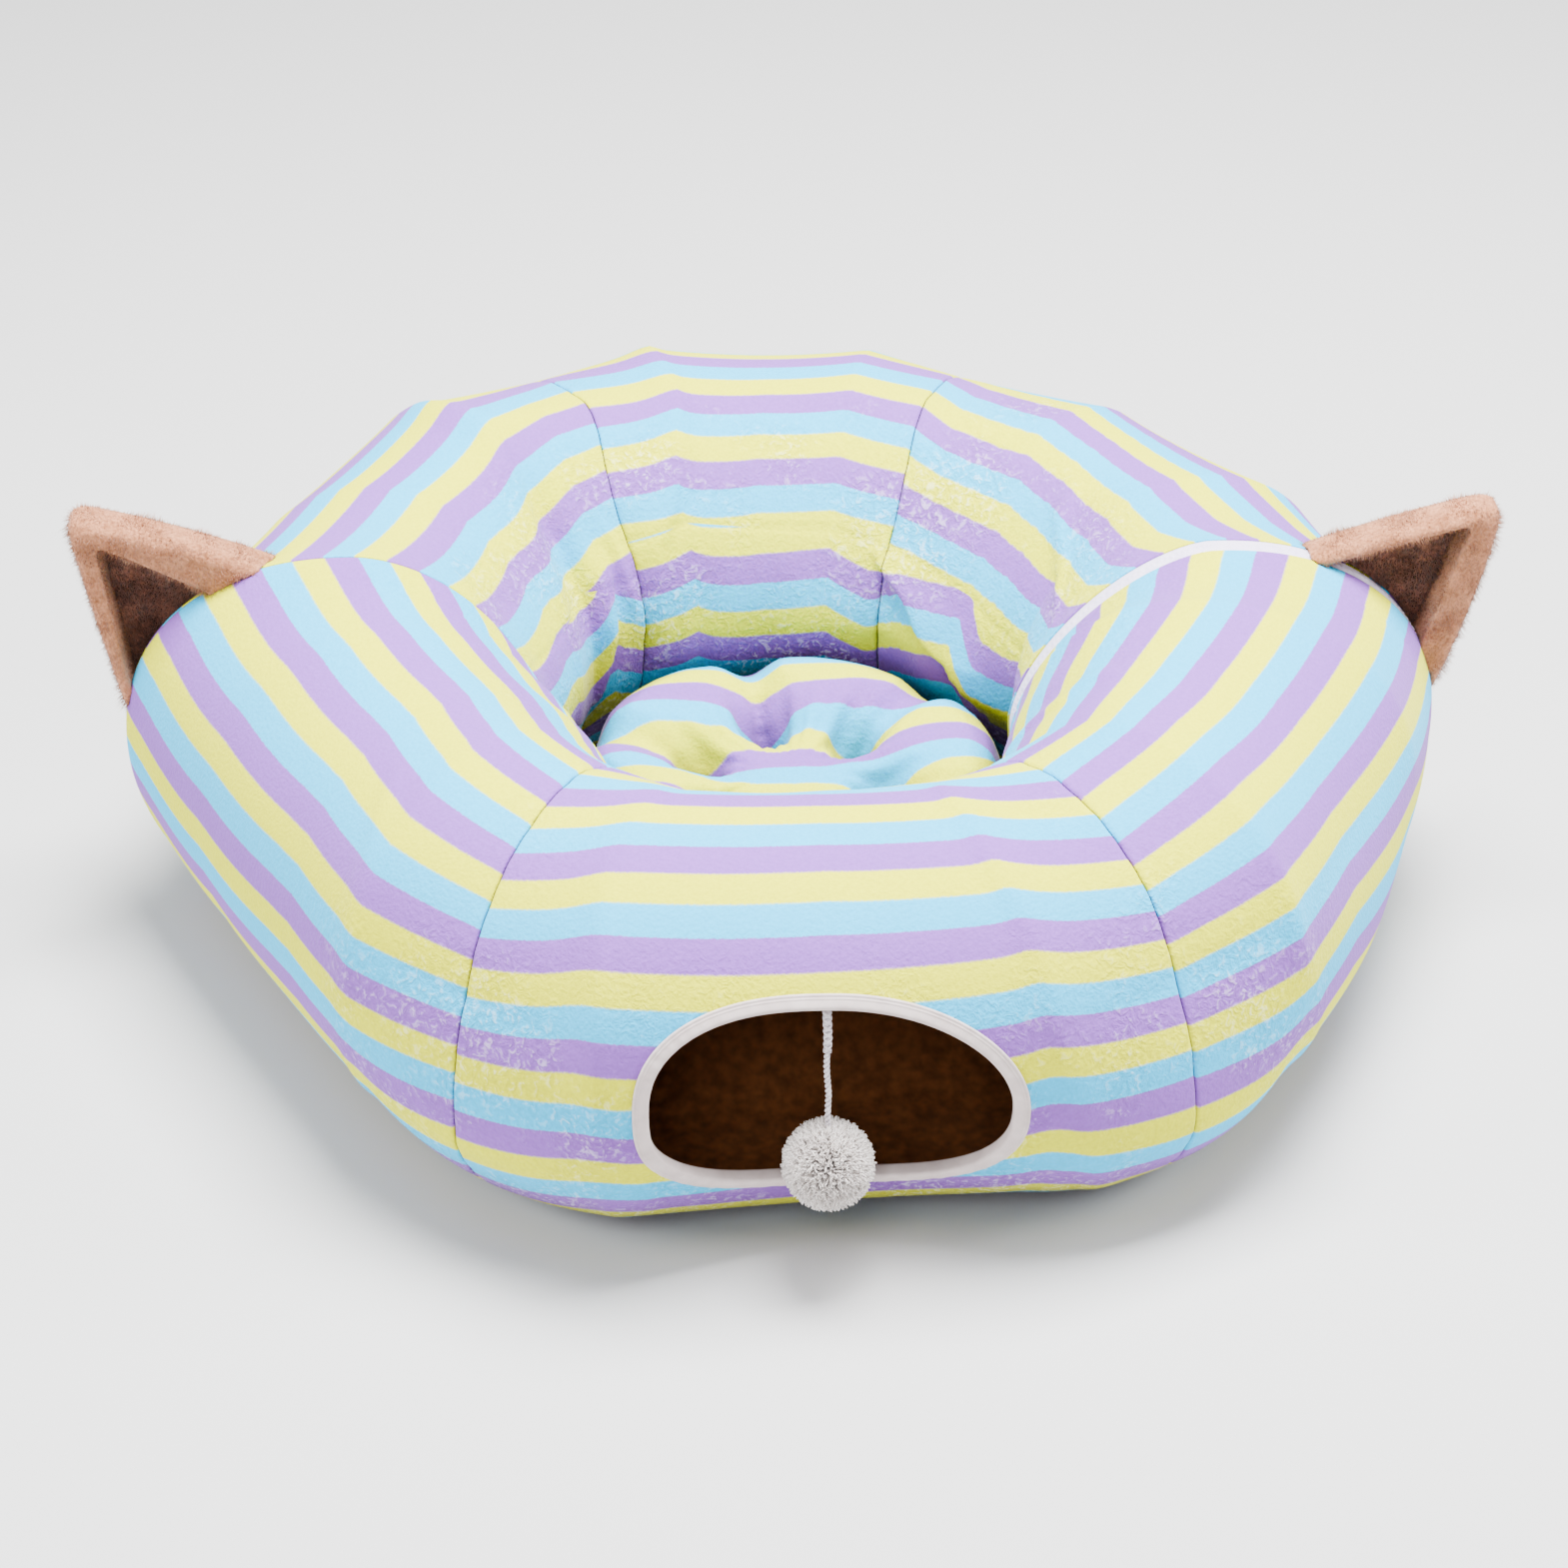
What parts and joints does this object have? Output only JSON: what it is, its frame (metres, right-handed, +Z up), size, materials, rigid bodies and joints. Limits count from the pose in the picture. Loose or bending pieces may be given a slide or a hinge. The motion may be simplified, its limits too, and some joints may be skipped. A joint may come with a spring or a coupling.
{
  "type": "cat tunnel",
  "caption": "Ring-shaped striped plush cat tunnel with a bound cat hole, a hanging pompom, two cat ears and a tufted cushion in its middle.",
  "frame": {"origin": "on the surface that the tunnel lies on, under the middle of the ring, on the cushion's flat underside", "axes": "+Z up, +X through the right ear as seen from the cat hole's side, +Y away from the cat hole, which faces -Y"},
  "size_m": [0.9179, 0.8234, 0.3],
  "materials": {
    "plush": "short striped pile in lavender, light blue and pale yellow",
    "lining": "thin brown woven lining",
    "binding": "off-white woven tape",
    "zip": "pale lavender zip tape",
    "ear_outer": "light brown short plush",
    "ear_inner": "dark brown short plush",
    "cord": "twisted off-white cord",
    "pompom": "off-white cut yarn"
  },
  "bodies": {
    "root": {"front_panel": "plush", "front_left_panel": "plush", "front_right_panel": "plush", "back_right_panel": "plush", "back_panel": "plush", "back_left_panel": "plush", "lining": "lining", "hole_binding": "binding", "zip": "zip", "ear_left_outer": "ear_outer", "ear_left_inner": "ear_inner", "ear_right_outer": "ear_outer", "ear_right_inner": "ear_inner", "cushion": "plush", "pompom_cord": "cord", "pompom": "pompom"}
  },
  "joints": []
}
